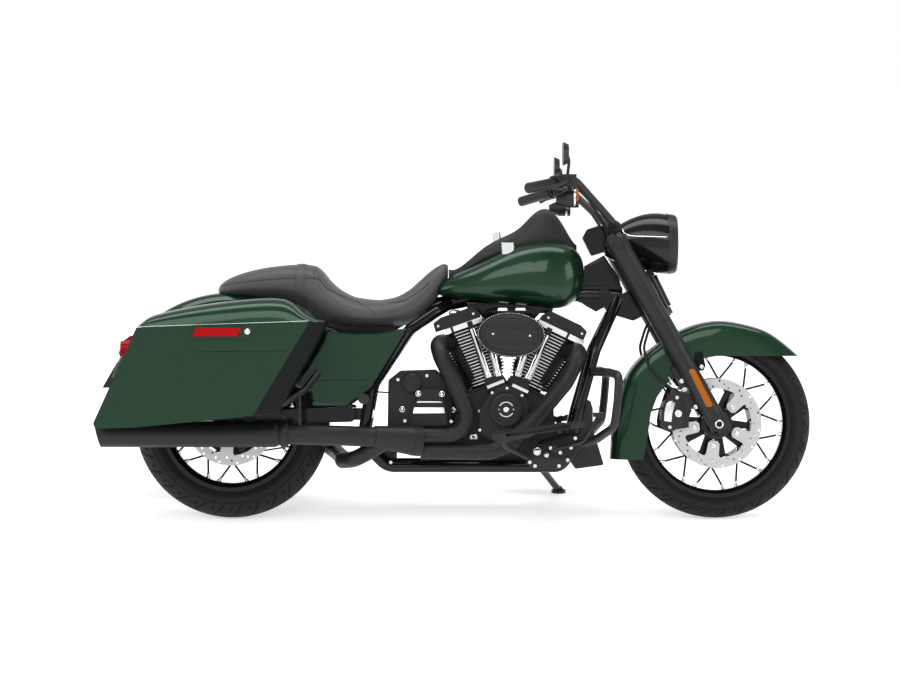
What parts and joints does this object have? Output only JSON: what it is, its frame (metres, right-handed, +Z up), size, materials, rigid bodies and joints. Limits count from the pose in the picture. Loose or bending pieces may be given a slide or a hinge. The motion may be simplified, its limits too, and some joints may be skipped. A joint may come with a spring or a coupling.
{
  "type": "touring cruiser motorcycle with hard side bags",
  "caption": "Touring cruiser motorcycle with an open V-twin engine, laced wheels and hard side bags, leaning on its side stand.",
  "frame": {"origin": "on the floor, at the middle of the parked machine's bounding box", "axes": "+X forward, +Y to the machine's left, +Z up; the machine leans to the left on its side stand"},
  "size_m": [2.373, 1.0532, 1.2917],
  "materials": {
    "green_paint": "deep metallic clear coat",
    "green_steel": "deep metallic clear coat",
    "black_frame": "gloss black powder coat",
    "black_cast": "satin black paint on cast aluminium",
    "black_steel": "satin black",
    "black_exhaust": "matte black heat coat",
    "black_plastic": "moulded",
    "chrome_trim": "polished",
    "disc_steel": "brushed",
    "fork_metal": "gloss black",
    "tyre_rubber": "matte",
    "rubber": "matte",
    "seat_vinyl": "grained",
    "red_lens": "clear red",
    "amber_lens": "clear amber",
    "lamp_glass": "clear"
  },
  "bodies": {
    "chassis": {"frame": "black_frame", "engine_crankcase": "black_cast", "cylinders": "black_cast", "rocker_covers": "black_cast", "pushrod_tubes": "chrome_trim", "air_cleaner": "black_plastic", "gearbox": "black_cast", "primary_cover": "black_cast", "exhaust_headers": "black_exhaust", "muffler_right": "black_exhaust", "muffler_left": "black_exhaust", "swingarm": "black_frame", "rear_caliper": "black_cast", "drive_belt": "rubber", "fuel_tank": "green_steel", "tank_console": "black_plastic", "tank_fittings": "chrome_trim", "seat": "seat_vinyl", "rear_fender": "green_steel", "side_covers": "green_paint", "saddlebag_right": "green_paint", "saddlebag_left": "green_paint", "bag_latches": "black_plastic", "bag_reflectors": "red_lens", "rear_lamps": "red_lens", "plate_bracket": "black_plastic", "rear_shocks": "black_steel", "floorboards": "black_cast", "foot_controls": "black_steel", "engine_guard": "black_steel", "chin_guard": "black_plastic", "bag_guards": "black_steel"},
    "steering": {"triple_clamp": "black_cast", "fork_legs": "fork_metal", "handlebar": "black_steel", "hand_controls": "black_plastic", "mirrors": "black_plastic", "front_turn_signals": "black_plastic", "headlamp_nacelle": "black_plastic", "headlamp_bezel": "black_steel", "headlamp_lens": "lamp_glass", "front_fender": "green_steel", "front_axle": "chrome_trim", "front_calipers": "black_cast", "fork_reflectors": "amber_lens", "brake_hoses": "rubber"},
    "front_wheel": {"front_tyre": "tyre_rubber", "front_wheel": "black_cast", "front_discs": "disc_steel"},
    "rear_wheel": {"rear_tyre": "tyre_rubber", "rear_wheel": "black_cast", "rear_disc": "disc_steel", "rear_pulley": "black_cast"},
    "side_stand": {"side_stand": "black_steel"},
    "bag_lid_right": {"bag_lid_right": "green_paint"},
    "bag_lid_left": {"bag_lid_left": "green_paint"}
  },
  "joints": [
    {"name": "steering", "type": "hinge", "parent": "chassis", "child": "steering", "pos_m": [0.69266, 0.00386, 0.69429], "axis": [-0.4384, 0.1561, 0.8851], "range_deg": [-36, 36]},
    {"name": "front_wheel_spin", "type": "hinge", "parent": "steering", "child": "front_wheel", "pos_m": [0.86651, -0.06282, 0.31614], "axis": [0, 0.9848, -0.1736], "continuous": true},
    {"name": "rear_wheel_spin", "type": "hinge", "parent": "chassis", "child": "rear_wheel", "pos_m": [-0.75849, -0.06136, 0.32442], "axis": [0, 0.9848, -0.1736], "continuous": true},
    {"name": "side_stand_swing", "type": "hinge", "parent": "chassis", "child": "side_stand", "pos_m": [0.25901, 0.0632, 0.16698], "axis": [0.0023, 0.6269, 0.7791], "range_deg": [0, 98]},
    {"name": "bag_lid_right_hinge", "type": "hinge", "parent": "chassis", "child": "bag_lid_right", "pos_m": [-0.84599, -0.21327, 0.67225], "axis": [-0.9996, -0.0049, -0.0278], "range_deg": [0, 62]},
    {"name": "bag_lid_left_hinge", "type": "hinge", "parent": "chassis", "child": "bag_lid_left", "pos_m": [-0.84599, 0.20035, 0.59932], "axis": [0.9996, 0.0049, 0.0278], "range_deg": [0, 62]}
  ]
}
